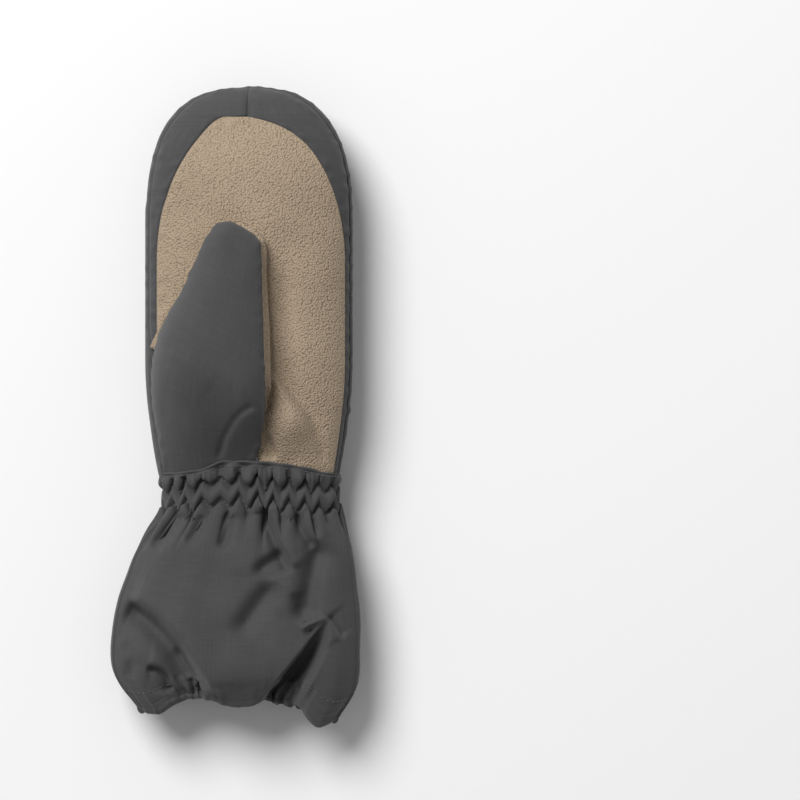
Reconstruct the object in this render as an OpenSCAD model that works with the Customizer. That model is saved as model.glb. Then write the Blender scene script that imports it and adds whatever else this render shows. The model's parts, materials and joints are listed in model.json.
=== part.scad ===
// Left-hand ski mitten for a child, lying on its back with the palm side up.
// Origin: centre of the bounding box's underside. +Y points to the fingertip, +Z up out of the palm.
// Every layer is a thin shell on one of three shared surfaces: the hand, the thumb pouch and the cuff.

/* [Hand] */
// Length from the hem to the fingertip
total_length = 263; // [260:0.5:266]
// Length of the hand from the wrist seam to the fingertip
hand_length = 155.5; // [152:0.5:158]
// Widest place of the hand
hand_width = 84; // [80:1:88]
// Padded thickness of the hand
hand_thickness = 38; // [36:1:40]
// Width of the hand where the wrist seam crosses it
seam_width = 73; // [71:1:75]
// Half the width of the leather patch on the palm
patch_half_width = 38.4; // [36:0.2:39]

/* [Thumb] */
// Length of the thumb pouch past its root line
thumb_length = 59.5; // [59.5:0.5:62]
// Thickness of the thumb pouch at its root
thumb_root_thickness = 22; // [20:1:24]
// Thickness of the thumb pouch near its tip
thumb_tip_thickness = 14; // [13:1:16]

/* [Cuff] */
// Widest place of the cuff
cuff_width = 103; // [100:1:106]
// Width at the gathered wrist
wrist_width = 70.6; // [68:0.2:72]
// Width across the gathered hem
hem_width = 82; // [78:1:86]
// Thickness of the wrist
wrist_thickness = 28; // [26:1:30]
// Thickness of the hem's opening
hem_thickness = 29; // [26:1:32]

/* [Layers] */
// Thickness of the shell fabric and of the leather
shell_thickness = 0.8; // [0.6:0.1:1]
// Thickness of the padding in the hand
insulation_thickness = 3.5; // [3:0.1:4]
// Thickness of the padding in the thumb
thumb_insulation_thickness = 2.4; // [2:0.1:2.6]
// Thickness of the fleece lining
lining_thickness = 1; // [0.8:0.1:1.1]
// Thickness of the elastic tapes
elastic_thickness = 1.2; // [1:0.1:1.4]

/* [Hidden] */

shell_colour = "dimgray";
leather_colour = "tan";
padding_colour = "whitesmoke";
fleece_colour = "slategray";
elastic_colour = "black";
thread_colour = "darkgray";

layer_gap = 0.2;  // between two layers of one wall
seam_gap = 0.3;   // between two panels that meet along a seam
mid_z = hand_thickness / 2;
tip_y = total_length / 2;
seam_y = tip_y - hand_length;
hem_y = -total_length / 2;

// Depths of the layers under the outer surface: where each starts and ends
shell_in = shell_thickness;
padding_out = shell_in + layer_gap;
padding_in = padding_out + insulation_thickness;
lining_out = padding_in + layer_gap;
lining_in = lining_out + lining_thickness;
thumb_padding_in = padding_out + thumb_insulation_thickness;
thumb_lining_out = thumb_padding_in + layer_gap;
thumb_lining_in = thumb_lining_out + lining_thickness;

// ---- The hand's surface: superellipse sections along Y, closing in a blunt cap ----
hand_x = 5.5;        // the hand's centreline, off the cuff's
section_power = 2.4; // squareness of every section
cap_y = 75;          // where the fingertip's cap starts
wrist_taper_y = 20;  // where the hand starts to narrow to the wrist
tip_power = 2.6;     // bluntness of the cap in plan
tip_side_power = 3;  // bluntness of the cap from the side
base_flat = 1.5;     // how much the back is pressed flat by what it lies on

function signed_power(x, p) = sign(x) * pow(abs(x), p);
function cap(t, p, q) = pow(max(0, 1 - pow(max(0, t), p)), 1 / q);
function mix(a, b, t) = a + (b - a) * t;
function tip_share(u) = (u - cap_y) / (tip_y - cap_y);
function wrist_share(u) = max(0, (wrist_taper_y - u) / (wrist_taper_y - seam_y));
function row_y(u, d) = u <= cap_y ? u : mix(cap_y, tip_y - d, tip_share(u));
function hand_half_width(u, d) =
    (mix(hand_width, seam_width, pow(wrist_share(u), 2)) / 2 - d) * cap(tip_share(u), tip_power, tip_power);
function hand_half_height(u, d) =
    (mix(hand_thickness, wrist_thickness + 2, pow(wrist_share(u), 2)) / 2 - d)
        * cap(tip_share(u), tip_side_power, 2);
function rounded_z(v, half, d, flat) =
    v <= 180 ? mid_z + half * signed_power(sin(v), 2 / section_power)
             : max(d, mid_z + (half + flat) * signed_power(sin(v), 2 / section_power));
function hand_point(u, v, d) = [
    hand_x + hand_half_width(u, d) * signed_power(cos(v), 2 / section_power),
    row_y(u, d),
    rounded_z(v, hand_half_height(u, d), d, base_flat)
];
// The angle round a section at which the palm side stands over a given x
function angle_over(x, u) =
    let(c = min(1, max(-1, (x - hand_x) / hand_half_width(u, 0))))
    acos(signed_power(c, section_power / 2));
function palm_z(x, y) = hand_point(y, angle_over(x, y), 0)[2];

// ---- The outlines on the palm, seen from above ----
root_right = [13.5, 0];     // crotch of the thumb
root_left_y = 28.2;         // where the thumb's root line meets the edge of the hand
root_left = [hand_x - hand_width / 2, root_left_y];
base_seam_x = 9.3;          // the thumb base's seam at the wrist
patch_x = 6.7;
patch_cap_y = 60;
patch_top_y = 119.5;
patch_lean = 2.4;           // how far the patch's top leans to the thumb side
tip_seam_x = patch_x - patch_lean;
patch_edge_share = 0.945;   // how far round the edge the patch reaches near the wrist

function patch_share(y) = max(0, (y - patch_cap_y) / (patch_top_y - patch_cap_y));
function patch_middle(y) = patch_x - patch_lean * pow(patch_share(y), 8);
function patch_half(y) = patch_half_width * cap(patch_share(y), 2, 2);
function patch_right(y) =
    min(patch_middle(y) + patch_half(y), hand_x + patch_edge_share * hand_half_width(y, 0));
function patch_left(y) =
    y < 0 ? mix(root_right[0], base_seam_x, y / seam_y)
    : y <= root_left_y ? mix(root_right[0], root_left[0] + 3, y / root_left_y)
    : patch_middle(y) - patch_half(y);

// ---- Rows that the layers are built on, from the wrist to the fingertip ----
lower_rows = [seam_y, -12, 0, 14, root_left_y];
middle_rows = [root_left_y + 0.6, 42, 57, 72, 84, 94, 103, 111, 116, 118.5];
tip_rows = [patch_top_y, 122.5, 126, 128.8, 130.6];
hand_rows = concat(lower_rows, middle_rows, tip_rows);
palm_columns = 20;
border_columns = 7;
back_columns = 20;

// ---- Shells from a grid of outer points and a grid of inner points ----
function flat_list(l) = [for (a = l) for (b = a) b];
function quad(a, b, c, d) = [[a, b, c], [a, c, d]];

// A panel between two edges. Its last row may close in one point, the pole, on each side.
module panel(outer, inner, poles = []) {
    rows = len(outer);
    cols = len(outer[0]);
    half = rows * cols;
    closed = len(poles) == 2;
    out_pole = 2 * half;
    in_pole = 2 * half + 1;
    skin = [for (i = [0:rows - 2]) for (j = [0:cols - 2])
        let(a = i * cols + j)
        concat(quad(a, a + 1, a + cols + 1, a + cols),
            quad(half + a, half + a + cols, half + a + cols + 1, half + a + 1))];
    sides = [for (i = [0:rows - 2])
        let(a = i * cols, b = a + cols - 1)
        concat(quad(a, a + cols, half + a + cols, half + a),
            quad(b, half + b, half + b + cols, b + cols))];
    first = [for (j = [0:cols - 2]) quad(j, half + j, half + j + 1, j + 1)];
    last = [for (j = [0:cols - 2])
        let(a = (rows - 1) * cols + j)
        closed ? [[a, a + 1, out_pole], [half + a + 1, half + a, in_pole]]
               : quad(a, a + 1, half + a + 1, half + a)];
    end_a = (rows - 1) * cols;
    end_b = end_a + cols - 1;
    tips = closed ? concat(quad(end_a, out_pole, in_pole, half + end_a),
        quad(end_b, half + end_b, in_pole, out_pole)) : [];
    polyhedron(
        points = concat(flat_list(outer), flat_list(inner), poles),
        faces = concat(flat_list(skin), flat_list(sides), flat_list(first), flat_list(last), tips),
        convexity = 8);
}

// A bag open at its first ring, whose last ring closes in one point, the pole, on each side
module bag(outer, inner, poles) {
    rows = len(outer);
    n = len(outer[0]);
    half = rows * n;
    end = (rows - 1) * n;
    skin = [for (i = [0:rows - 2]) for (j = [0:n - 1])
        let(a = i * n + j, b = i * n + (j + 1) % n)
        concat(quad(a, b, b + n, a + n), quad(half + a, half + a + n, half + b + n, half + b))];
    mouth = [for (j = [0:n - 1]) let(k = (j + 1) % n) quad(j, half + j, half + k, k)];
    tip = [for (j = [0:n - 1])
        let(a = end + j, b = end + (j + 1) % n)
        [[a, b, 2 * half], [half + b, half + a, 2 * half + 1]]];
    polyhedron(
        points = concat(flat_list(outer), flat_list(inner), poles),
        faces = concat(flat_list(skin), flat_list(mouth), flat_list(tip)),
        convexity = 8);
}

// A closed profile carried all the way round: loops[i] is the ring that profile point i draws.
module ring(loops) {
    n = len(loops);
    m = len(loops[0]);
    faces = [for (i = [0:n - 1]) for (j = [0:m - 1])
        let(i2 = (i + 1) % n, j2 = (j + 1) % m)
        quad(i * m + j, i * m + j2, i2 * m + j2, i2 * m + j)];
    polyhedron(points = flat_list(loops), faces = flat_list(faces), convexity = 8);
}

function hand_row(u, v0, v1, cols, d) = [for (j = [0:cols]) hand_point(u, mix(v0, v1, j / cols), d)];

// A hand layer whose edges are given row by row as [u, first angle, last angle]
module hand_layer(spans, cols, d_out, d_in, to_tip = false) {
    panel(
        [for (s = spans) hand_row(s[0], s[1], s[2], cols, d_out)],
        [for (s = spans) hand_row(s[0], s[1], s[2], cols, d_in)],
        to_tip ? [[hand_x, tip_y - d_out, mid_z], [hand_x, tip_y - d_in, mid_z]] : []);
}

// ---- Hand panels ----
module palm_patch() {
    rows = concat(lower_rows, middle_rows);
    spans = [for (u = rows) [u, angle_over(patch_right(u), u), angle_over(patch_left(u), u)]];
    top_angle = angle_over(tip_seam_x, patch_top_y);
    color(leather_colour)
        panel(
            [for (s = spans) hand_row(s[0], s[1], s[2], palm_columns, 0)],
            [for (s = spans) hand_row(s[0], s[1], s[2], palm_columns, shell_in)],
            [hand_point(patch_top_y, top_angle, 0), hand_point(patch_top_y, top_angle, shell_in)]);
}

function border_edge(u, side) =
    u >= patch_top_y ? tip_seam_x + side * seam_gap
    : (side > 0 ? patch_right(u) : patch_left(u)) + side * seam_gap;

module thumb_side_border() {
    rows = concat(middle_rows, tip_rows);
    color(shell_colour)
        hand_layer([for (u = rows) [u, angle_over(border_edge(u, -1), u), 180]],
            border_columns, 0, shell_in, true);
}

module finger_side_border() {
    color(shell_colour)
        hand_layer([for (u = hand_rows) [u, 0, angle_over(border_edge(u, 1), u)]],
            border_columns, 0, shell_in, true);
}

module back_layer(d_out, d_in) {
    hand_layer([for (u = hand_rows) [u, 180, 360]], back_columns, d_out, d_in, true);
}

module palm_layer(d_out, d_in) {
    hand_layer([for (u = hand_rows) [u, 0, u <= root_left_y ? angle_over(patch_left(u), u) : 180]],
        palm_columns, d_out, d_in, true);
}

module back_panel() {
    color(shell_colour) back_layer(0, shell_in);
}

module palm_insulation() {
    color(padding_colour) palm_layer(padding_out, padding_in);
}

module back_insulation() {
    color(padding_colour) back_layer(padding_out, padding_in);
}

module palm_lining() {
    color(fleece_colour) palm_layer(lining_out, lining_in);
}

module back_lining() {
    color(fleece_colour) back_layer(lining_out, lining_in);
}

// ---- Thumb pouch: sections parallel to the root line, resting just over the palm ----
root_line = (root_right - root_left) / norm(root_right - root_left);
thumb_axis = [-root_line[1], root_line[0]];
root_middle = (root_right + root_left) / 2;
root_half = norm(root_right - root_left) / 2;
thumb_left_root = -24;
thumb_left_lean = -0.066;
thumb_right_root = 28.2;
thumb_right_lean = -0.6;
thumb_cap_start = 49;
thumb_cap_power = 2.6;
thumb_rest_z = hand_thickness + 0.6;
thumb_start = 0.6;
thumb_droop = 18;        // how far the pouch's outer side hangs at the root
thumb_rows = [thumb_start, 11, 22, 32, 41, thumb_cap_start, 53, 56, 58, 59.1];
thumb_columns = 10;

function thumb_cap_share(n) = (n - thumb_cap_start) / (thumb_length - thumb_cap_start);
function thumb_row(n, d) =
    n <= thumb_cap_start ? n : mix(thumb_cap_start, thumb_length - d, thumb_cap_share(n));
function thumb_cap(n) = cap(thumb_cap_share(n), thumb_cap_power, thumb_cap_power);
function thumb_middle(n) =
    (thumb_left_root + thumb_right_root + (thumb_left_lean + thumb_right_lean) * n) / 2;
function thumb_half(n, d) =
    (thumb_right_root - thumb_left_root + (thumb_right_lean - thumb_left_lean) * n) / 2 - d;
function thumb_thickness(n) = mix(thumb_root_thickness, thumb_tip_thickness, n / thumb_length);
// How far the pouch hangs: c is 1 on its crotch side and -1 on its outer side
function droop(n, c) = thumb_droop * pow(max(0, -c), 4) * pow(max(0, 1 - n / thumb_length), 1.5);
function thumb_point(n, v, d) =
    let(
        c = signed_power(cos(v), 2 / section_power),
        across = thumb_middle(n) + thumb_half(n, d) * thumb_cap(n) * c,
        plan = root_middle + across * root_line + thumb_row(n, d) * thumb_axis,
        half_z = (thumb_thickness(n) / 2 - d) * thumb_cap(n)
    )
    [plan[0], plan[1], thumb_rest_z + thumb_thickness(n) / 2
        + half_z * signed_power(sin(v), 2 / section_power) - droop(n, c)];
function thumb_grid(v0, v1, cols, d) =
    [for (n = thumb_rows) [for (j = [0:cols]) thumb_point(n, mix(v0, v1, j / cols), d)]];

module thumb_half_layer(v0, v1, d_out, d_in) {
    panel(thumb_grid(v0, v1, thumb_columns, d_out), thumb_grid(v0, v1, thumb_columns, d_in),
        [thumb_point(thumb_length, v0, d_out), thumb_point(thumb_length, v0, d_in)]);
}

module thumb_back_panel() {
    color(shell_colour) thumb_half_layer(0, 180, 0, shell_in);
}

module thumb_palm_panel() {
    color(leather_colour) thumb_half_layer(180, 360, 0, shell_in);
}

module thumb_bag(d_out, d_in) {
    last = 2 * thumb_columns - 1;
    outer = [for (n = thumb_rows) [for (j = [0:last]) thumb_point(n, 180 * j / thumb_columns, d_out)]];
    inner = [for (n = thumb_rows) [for (j = [0:last]) thumb_point(n, 180 * j / thumb_columns, d_in)]];
    bag(outer, inner, [thumb_point(thumb_length, 0, d_out), thumb_point(thumb_length, 0, d_in)]);
}

module thumb_insulation() {
    color(padding_colour) thumb_bag(padding_out, thumb_padding_in);
}

module thumb_lining() {
    color(fleece_colour) thumb_bag(thumb_lining_out, thumb_lining_in);
}

// ---- Thumb base: a hood over the heel of the hand that rises to the thumb's root line ----
base_rise_power = 1.4;
base_rows = 8;
base_columns = 16;

function hand_z(x, y, d) =
    let(c = min(1, abs(x - hand_x) / hand_half_width(y, d)))
    mid_z + hand_half_height(y, d) * pow(1 - pow(c, section_power), 1 / section_power);
// Height of the pouch's upper skin at its root; past its outer side it falls to the edge of the hand
function root_z(across, d) =
    let(
        c = (across - thumb_middle(0)) / thumb_half(0, d),
        side_z = thumb_rest_z + thumb_root_thickness / 2
    )
    abs(c) <= 1
        ? side_z + (thumb_root_thickness / 2 - d) * pow(1 - pow(abs(c), section_power), 1 / section_power)
            - droop(0, c)
    : c > 1 ? hand_thickness - d
    : mix(side_z - thumb_droop, mid_z, (thumb_left_root + d - across) / (root_half + thumb_left_root));

// t runs from the wrist seam to the root line, w from the crotch side to the edge of the hand
function base_point(t, w, d) =
    let(
        slope = root_line[1] / root_line[0],
        right = [mix(base_seam_x, root_right[0], t) - seam_gap - d * t,
            mix(seam_y, root_right[1], t) - (seam_gap + d) * t * slope],
        left_y = mix(seam_y, root_left_y, t) + d * t * slope,
        plan = mix(right, [hand_x - hand_half_width(left_y, d), left_y], w),
        across = mix(root_half - seam_gap - d, d - root_half, w)
    )
    [plan[0], plan[1], mix(hand_z(plan[0], plan[1], d), root_z(across, d), pow(t, base_rise_power))];

module base_layer(d_out, d_in) {
    spread = [for (j = [0:base_columns]) (1 - cos(180 * j / base_columns)) / 2];
    panel(
        [for (i = [0:base_rows]) [for (w = spread) base_point(i / base_rows, w, d_out)]],
        [for (i = [0:base_rows]) [for (w = spread) base_point(i / base_rows, w, d_in)]]);
}

module thumb_base_panel() {
    color(shell_colour) base_layer(0, shell_in);
}

module thumb_base_insulation() {
    color(padding_colour) base_layer(padding_out, thumb_padding_in);
}

module thumb_base_lining() {
    color(fleece_colour) base_layer(thumb_lining_out, thumb_lining_in);
}

// ---- Cuff: sections along Y from the gathered wrist to the hem ----
wrist_y = seam_y - 14;    // narrowest place
widest_y = -98;           // widest place
casing_end_y = seam_y - 20;
hem_top_y = hem_y + 13.5;
wrist_x = 6.4;            // the wrist's centreline
ring_columns = 28;

function belly(y) = sin(90 * min(1, max(0, (wrist_y - y) / (wrist_y - widest_y))));
function hem_share(y) = max(0, (widest_y - y) / (widest_y - hem_y));
function cuff_half_width(y, d) =
    mix(wrist_width, cuff_width, pow(belly(y), 0.9)) / 2
        - (cuff_width - hem_width) / 2 * pow(hem_share(y), 2.2) - d;
function cuff_half_height(y, d) =
    mix(wrist_thickness, hand_thickness, pow(belly(y), 0.9)) / 2
        - (hand_thickness - hem_thickness) / 2 * pow(hem_share(y), 1.2) - d;
function cuff_point(y, v, d) = [
    wrist_x * (1 - belly(y)) + cuff_half_width(y, d) * signed_power(cos(v), 2 / section_power),
    y,
    rounded_z(v, cuff_half_height(y, d), d, base_flat * (1 - hem_share(y)))
];
function cuff_ring(y, d) = [for (j = [0:ring_columns - 1]) cuff_point(y, 360 * j / ring_columns, d)];
function cuff_grid(rows, v0, v1, cols, d) =
    [for (y = rows) [for (j = [0:cols]) cuff_point(y, mix(v0, v1, j / cols), d)]];

// A tube round the cuff through given rows, from one depth to another
module cuff_tube(rows, d_out, d_in) {
    last = len(rows) - 1;
    ring(concat([for (i = [0:last]) cuff_ring(rows[i], d_out)],
        [for (i = [0:last]) cuff_ring(rows[last - i], d_in)]));
}

cuff_rows = [hem_top_y + 0.4, -108, -98, -86, -74, -64, -56, -50, casing_end_y - 0.5];
wrist_rows = [casing_end_y, -39, -34, -29, seam_y - 0.6];
cuff_lining_out = 1.4;
cuff_lining_in = 2.2;
wrist_lining_out = 4.4;
wrist_lining_in = 5.2;

module cuff_palm_panel() {
    color(shell_colour)
        panel(cuff_grid(cuff_rows, 0, 180, 14, 0), cuff_grid(cuff_rows, 0, 180, 14, shell_in));
}

module cuff_back_panel() {
    color(shell_colour)
        panel(cuff_grid(cuff_rows, 180, 360, 14, 0), cuff_grid(cuff_rows, 180, 360, 14, shell_in));
}

module cuff_lining() {
    color(fleece_colour) cuff_tube(cuff_rows, cuff_lining_out, cuff_lining_in);
}

module wrist_casing() {
    color(shell_colour) cuff_tube(wrist_rows, 0, shell_in);
}

module wrist_lining() {
    color(fleece_colour) cuff_tube(wrist_rows, wrist_lining_out, wrist_lining_in);
}

// ---- Elastics, and the hem's folded channel ----
wrist_elastic_width = 6;
wrist_elastic_y = seam_y - 13;
wrist_elastic_depth = 1.6;
hem_channel_depth = 3.8;
hem_rows = [hem_top_y, hem_y + 9.5, hem_y + 5.5, hem_y + 2.5, hem_y + shell_in, hem_y];

module elastic_band(y0, y1, depth) {
    color(elastic_colour) cuff_tube([y0, y1], depth, depth + elastic_thickness);
}

module wrist_elastic() {
    elastic_band(wrist_elastic_y, wrist_elastic_y + wrist_elastic_width, wrist_elastic_depth);
}

module hem_elastic() {
    elastic_band(hem_y + 3, hem_y + 10, shell_in + 0.5);
}

// The shell's edge is folded inward round the elastic: down the outside, round the hem and up the inside
module hem_casing() {
    inner_wall = hem_channel_depth - shell_thickness;
    last = len(hem_rows) - 1;
    down = [for (y = hem_rows) cuff_ring(y, 0)];
    up = [for (k = [last:-1:0]) cuff_ring(hem_rows[k], hem_channel_depth)];
    channel_down = [for (k = [0:last - 1]) cuff_ring(hem_rows[k], inner_wall)];
    channel_up = [for (k = [last - 1:-1:0]) cuff_ring(hem_rows[k], shell_in)];
    color(shell_colour) ring(concat(down, up, channel_down, channel_up));
}

// ---- Stitches: short lengths of thread lying just over the fabric ----
thread_radius = 0.25;
thread_height = 0.6;    // how far a stitch's middle lies over the fabric
zigzag_legs = 52;
zigzag_steps = 3;       // stitches on each leg, as a three-step zigzag has
seam_stitch_count = 64;
hem_stitch_count = 84;

module stitch(a, b) {
    along = b - a;
    color(thread_colour)
        translate(a)
            rotate([0, acos(along[2] / norm(along)), atan2(along[1], along[0])])
                cylinder(h = norm(along), r = thread_radius, $fn = 16);
}

// Stitches round the cuff, each covering most of its share of the way round
module stitch_row(count, y) {
    step = 360 / count;
    for (k = [0:count - 1])
        stitch(cuff_point(y, k * step, -thread_height), cuff_point(y, (k + 0.72) * step, -thread_height));
}

module zigzag_row(low_y, high_y) {
    step = 360 / zigzag_legs;
    for (k = [0:zigzag_legs - 1])
        for (s = [0:zigzag_steps - 1])
            let(
                up = k % 2 == 0,
                a = (s + 0.1) / zigzag_steps,
                b = (s + 0.9) / zigzag_steps,
                y_a = up ? mix(low_y, high_y, a) : mix(high_y, low_y, a),
                y_b = up ? mix(low_y, high_y, b) : mix(high_y, low_y, b)
            )
            stitch(cuff_point(y_a, (k + a) * step, -thread_height), cuff_point(y_b, (k + b) * step, -thread_height));
}

module wrist_zigzag_stitches() {
    zigzag_row(seam_y - 9.5, seam_y - 4.5);
    zigzag_row(seam_y - 17.5, seam_y - 12);
}

module wrist_seam_stitches() {
    stitch_row(seam_stitch_count, seam_y - 2);
}

module hem_stitches() {
    stitch_row(hem_stitch_count, hem_top_y + 1.6);
}

palm_patch();
thumb_side_border();
finger_side_border();
back_panel();
thumb_base_panel();
palm_insulation();
back_insulation();
thumb_base_insulation();
palm_lining();
back_lining();
thumb_base_lining();
thumb_back_panel();
thumb_palm_panel();
thumb_insulation();
thumb_lining();
wrist_casing();
wrist_lining();
wrist_elastic();
wrist_zigzag_stitches();
wrist_seam_stitches();
cuff_palm_panel();
cuff_back_panel();
cuff_lining();
hem_casing();
hem_elastic();
hem_stitches();
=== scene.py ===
# %% [markdown]
# # A child's padded ski mitten
# The mitten lies on its back with the palm up. Its hard facts, the sizes, the bodies and the two
# joints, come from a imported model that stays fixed. This lesson makes the soft skin round it: leather,
# woven shell, gathers, folds and thread. Lengths are in millimetres until a mesh is made.

# %% Load the fixed frame
import json
import math

import bpy
import numpy as np
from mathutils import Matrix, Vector


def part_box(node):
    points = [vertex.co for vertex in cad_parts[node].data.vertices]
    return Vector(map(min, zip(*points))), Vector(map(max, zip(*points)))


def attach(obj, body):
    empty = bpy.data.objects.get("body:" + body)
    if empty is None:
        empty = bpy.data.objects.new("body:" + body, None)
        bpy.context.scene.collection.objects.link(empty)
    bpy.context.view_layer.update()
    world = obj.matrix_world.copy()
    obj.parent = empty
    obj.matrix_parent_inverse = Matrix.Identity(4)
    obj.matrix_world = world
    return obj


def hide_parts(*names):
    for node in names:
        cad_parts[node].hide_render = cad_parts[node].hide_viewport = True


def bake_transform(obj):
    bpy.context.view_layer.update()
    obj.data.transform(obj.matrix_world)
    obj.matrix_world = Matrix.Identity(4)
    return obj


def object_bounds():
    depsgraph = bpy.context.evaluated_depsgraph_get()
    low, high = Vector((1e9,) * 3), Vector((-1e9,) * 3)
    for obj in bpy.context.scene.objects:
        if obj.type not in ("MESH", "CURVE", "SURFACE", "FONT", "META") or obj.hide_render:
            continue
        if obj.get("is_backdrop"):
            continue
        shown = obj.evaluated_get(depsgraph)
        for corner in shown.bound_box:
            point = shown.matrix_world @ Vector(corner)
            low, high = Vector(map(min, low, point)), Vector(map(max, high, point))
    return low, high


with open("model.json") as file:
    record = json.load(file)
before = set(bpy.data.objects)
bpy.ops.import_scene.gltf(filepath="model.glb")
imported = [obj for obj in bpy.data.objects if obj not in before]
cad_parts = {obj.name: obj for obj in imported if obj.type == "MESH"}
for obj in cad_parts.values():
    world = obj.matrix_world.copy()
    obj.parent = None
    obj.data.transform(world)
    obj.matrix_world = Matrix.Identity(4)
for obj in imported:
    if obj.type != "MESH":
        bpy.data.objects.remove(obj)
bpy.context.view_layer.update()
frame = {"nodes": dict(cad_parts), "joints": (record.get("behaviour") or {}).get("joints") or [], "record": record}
cad_nodes = frame["nodes"]
MM = 0.001

# %% [markdown]
# ## Places that come from the frame
# The hand's length, width and height come from the box of one CAD node, and the thumb's own axes from
# its hinge: `across` runs along the line where the thumb leaves the palm, and `out` runs from that line
# to the thumb's tip. Outlines and folds further on are given in the frame's own coordinates.


# %% Measure the frame
def corners(node):
    """Lowest and highest corner of a CAD node in millimetres."""
    low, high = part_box(node)
    return np.array(low) / MM, np.array(high) / MM


hand_low, hand_high = corners("back_panel")
hinges = {j["name"]: j for j in frame["joints"]}
tip_y, seam_y = hand_high[1], hand_low[1]
hand_x = (hand_low[0] + hand_high[0]) / 2
hand_half_width = (hand_high[0] - hand_low[0]) / 2
mid_z = hand_high[2]
root = np.array(hinges["thumb_lift"]["pos_m"]) / MM
across = np.array(hinges["thumb_lift"]["axis"][:2])
out = np.array([-across[1], across[0]])
print("hand from", round(seam_y, 1), "to", round(tip_y, 1), "half width", round(hand_half_width, 1))

# %% [markdown]
# ## The camera
# It looks straight down from far away through a long lens, so that sides stay upright and heights
# hardly shift. It stands to the right of the mitten, which leaves room there for the soft shadow.


# %% Set the camera
def add_object(name, data):
    """Puts a camera, a lamp or a mesh into the scene as an object."""
    made = bpy.data.objects.new(name, data)
    bpy.context.scene.collection.objects.link(made)
    return made


camera_data = bpy.data.cameras.new("camera")
camera_data.lens = 300
camera = add_object("camera", camera_data)
bpy.context.scene.camera = camera
view_width = 328
camera_x, camera_y = 67.4, 3.5
camera_height = view_width / 2 / math.tan(math.atan(camera_data.sensor_width / 2 / camera_data.lens))
camera.location = Vector((camera_x, camera_y, camera_height + mid_z)) * MM
camera_data.clip_end = 20
print("camera height:", round(camera_height), "mm")

# %% [markdown]
# ## Small tools for curves and folds
# A fold in cloth is a ridge or a valley that follows a path and fades at its ends, often with one side
# standing higher than the other. `stroke` gives the height of such a fold at any place in plan, and
# `relief` adds up all the folds and mounds of a panel. `profile` reads a smooth outline through a few
# points, as a pattern cutter draws one with a curve.


# %% Curves, steps and strokes
def rise(value, start, end):
    """0 before start, 1 after end, smooth between."""
    t = np.clip((value - start) / (end - start), 0, 1)
    return t * t * (3 - 2 * t)


def mix(a, b, t):
    return a + (b - a) * t


def bell(distance, width):
    return np.exp(-((distance / width) ** 2))


def signed_power(value, power):
    return np.sign(value) * np.abs(value) ** power


def smooth_path(points, count=24):
    """A Catmull-Rom curve through a few points."""
    p = np.array(points, float)
    p = np.vstack([2 * p[0] - p[1], p, 2 * p[-1] - p[-2]])
    t = np.linspace(0, len(p) - 3 - 1e-6, count)
    k = t.astype(int)
    u = (t - k)[:, None]
    a, b, c, d = p[k], p[k + 1], p[k + 2], p[k + 3]
    return 0.5 * (2 * b + (c - a) * u + (2 * a - 5 * b + 4 * c - d) * u**2 + (3 * b - a - 3 * c + d) * u**3)


def profile(value, pairs):
    """A smooth outline through (place, size) pairs, read at value."""
    line = smooth_path(sorted(pairs), 200)
    return np.interp(value, line[:, 0], line[:, 1])


def stroke(x, y, points, width, height, step=0.0, reach=9.0, fade=0.25):
    """Height of a fold along a path in plan. step lifts the path's left side and lowers its right."""
    path = smooth_path(points)
    gaps = np.hypot(*np.diff(path, axis=0).T)
    starts = np.concatenate([[0], np.cumsum(gaps)])
    best = np.full(np.shape(x), 1e9)
    side, share = np.zeros(np.shape(x)), np.zeros(np.shape(x))
    for a, b, gap, start in zip(path[:-1], path[1:], gaps, starts):
        ab = b - a
        t = np.clip(((x - a[0]) * ab[0] + (y - a[1]) * ab[1]) / gap**2, 0, 1)
        dx, dy = x - a[0] - t * ab[0], y - a[1] - t * ab[1]
        distance = np.hypot(dx, dy)
        near = distance < best
        best = np.where(near, distance, best)
        side = np.where(near, np.sign(ab[0] * dy - ab[1] * dx), side)
        share = np.where(near, (start + t * gap) / starts[-1], share)
    ends = rise(share, 0, fade) * rise(1 - share, 0, fade)
    return ends * (height * bell(best, width) + step * side * np.tanh(best / width) * bell(best, reach))


def relief(x, y, folds, mounds, strength=1.0):
    """Height of a panel's folds and mounds. A mound is its height, its place and how far it spreads."""
    height = strength * sum(stroke(x, y, *fold) for fold in folds)
    for top, centre_x, centre_y, reach_x, reach_y in mounds:
        height += top * bell(np.hypot((x - centre_x) / reach_x, (y - centre_y) / reach_y), 1)
    return height


def unevenness(x, y, wavelength, seed, waves=9):
    """A gentle random swell, made of a few crossed waves. Its size is about 1."""
    chance = np.random.default_rng(seed)
    total = 0.0
    for _ in range(waves):
        heading, beginning = chance.uniform(0, 2 * math.pi, 2)
        frequency = 2 * math.pi / (wavelength * chance.uniform(0.7, 1.6))
        total = total + np.sin(frequency * (x * math.cos(heading) + y * math.sin(heading)) + beginning)
    return total / math.sqrt(waves)


# %% [markdown]
# ## From a grid of points to a sewn panel
# Each panel is a grid of points on a surface. At a seam the cloth dives between its neighbours, so the
# grid's edges are tucked down along the normal. A Solidify modifier then gives the cloth its thickness,
# inwards, and is applied. The UV map is the panel's own flat pattern, in millimetres, for the weave.


# %% Grids, normals and tucked seams
def grid_normals(grid, closed=False):
    """Outward normals of a grid whose rows run along the mitten and whose columns run round it."""
    if closed:
        wide = np.concatenate([grid[:, -2:], grid, grid[:, :2]], axis=1)
        return grid_normals(wide)[:, 2:-2]
    along, around = np.gradient(grid, axis=0), np.gradient(grid, axis=1)
    normal = np.cross(along, around)
    length = np.linalg.norm(normal, axis=2, keepdims=True)
    return normal / np.maximum(length, 1e-9)


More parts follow.
